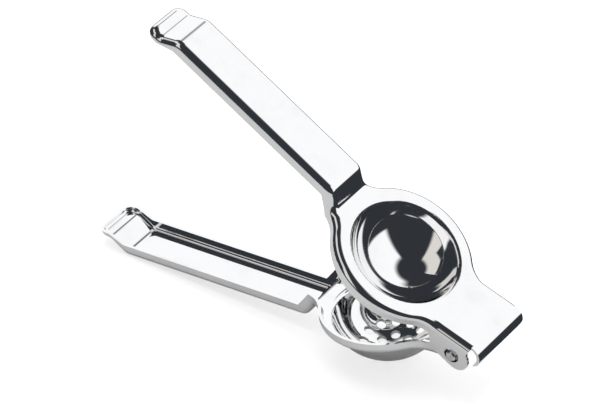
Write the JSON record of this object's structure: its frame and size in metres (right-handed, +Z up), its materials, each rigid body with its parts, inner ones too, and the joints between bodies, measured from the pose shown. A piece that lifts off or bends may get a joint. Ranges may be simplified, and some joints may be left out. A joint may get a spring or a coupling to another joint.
{
  "type": "hinged lemon squeezer",
  "caption": "Hinged citrus squeezer of two stamped steel levers: a press bowl swings down into a strainer cup on a cross pin at the front end.",
  "frame": {"origin": "middle of the bottom of the squeezer as it stands open on a table, on its cup and the end of the lower handle", "axes": "+X towards the hinge at the front end, handles towards -X; +Y across, along the hinge pin; +Z up"},
  "size_m": [0.2152, 0.0654, 0.136],
  "materials": {
    "polished_steel": "mirror-polished stainless sheet",
    "pin_steel": "plain turned stainless pin"
  },
  "bodies": {
    "cup_body": {"cup_lever": "polished_steel", "hinge_pin": "pin_steel"},
    "press_body": {"press_lever": "polished_steel"}
  },
  "joints": [
    {"name": "lever_hinge", "type": "hinge", "parent": "cup_body", "child": "press_body", "pos_m": [0.09353, 0, 0.02751], "axis": [0, 1, 0], "range_deg": [-36.5, 125]}
  ]
}
